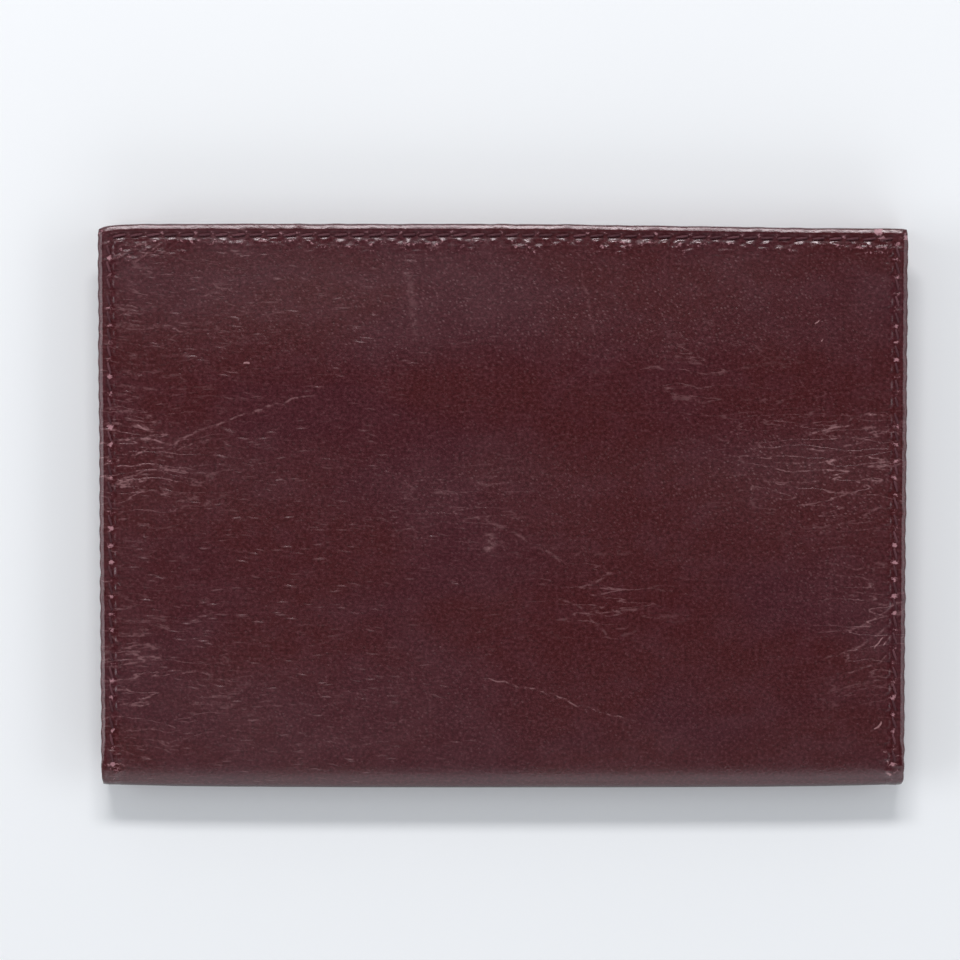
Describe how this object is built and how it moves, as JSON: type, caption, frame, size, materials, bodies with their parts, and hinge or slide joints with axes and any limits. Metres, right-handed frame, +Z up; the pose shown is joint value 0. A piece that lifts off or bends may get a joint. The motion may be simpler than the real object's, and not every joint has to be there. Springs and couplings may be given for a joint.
{
  "type": "travel document organizer",
  "caption": "Folding leather travel wallet with turned, stitched edges, a passport pocket, a document pocket, card slots and a clear identity window, hinged at a soft spine.",
  "frame": {"origin": "middle of the closed footprint, on the surface that the back cover rests on", "axes": "+X along the spine, towards the bottom of the opened book; +Y from the spine to the fore edge; +Z up through the closed stack, out of the front cover"},
  "size_m": [0.145, 0.1014, 0.009],
  "materials": {
    "cover_leather": "semi-gloss fine-grained oxblood leather, lightly worn",
    "pocket_leather": "thinner smooth oxblood leather",
    "lining": "fine twill, burgundy",
    "board": "grey-brown stiffener board",
    "clear_film": "clear glossy film",
    "thread": "twisted bonded thread"
  },
  "bodies": {
    "back_half": {"back_cover": "cover_leather", "back_turned_hem": "cover_leather", "back_board": "board", "back_lining": "lining", "document_pocket": "pocket_leather", "card_slot_1": "pocket_leather", "card_slot_2": "pocket_leather", "card_slot_3": "pocket_leather", "id_window_pane": "clear_film", "id_window_frame": "pocket_leather", "back_cover_stitching": "thread", "card_slot_stitching": "thread", "id_window_stitching": "thread"},
    "spine": {"spine_leather": "cover_leather", "spine_lining": "lining"},
    "front_half": {"front_cover": "cover_leather", "front_turned_hem": "cover_leather", "front_board": "board", "front_lining": "lining", "passport_pocket": "pocket_leather", "ticket_pocket": "pocket_leather", "front_cover_stitching": "thread", "ticket_pocket_stitching": "thread"}
  },
  "joints": [
    {"name": "spine_fold", "type": "hinge", "parent": "back_half", "child": "spine", "pos_m": [0, -0.04975, 0.001], "axis": [1, 0, 0], "range_deg": [0, 90]},
    {"name": "front_fold", "type": "hinge", "parent": "spine", "child": "front_half", "pos_m": [0, -0.04975, 0.008], "axis": [1, 0, 0], "range_deg": [0, 90]}
  ],
  "couplings": [
    {"joint": "spine_fold", "follows": "front_fold", "ratio": 1}
  ]
}
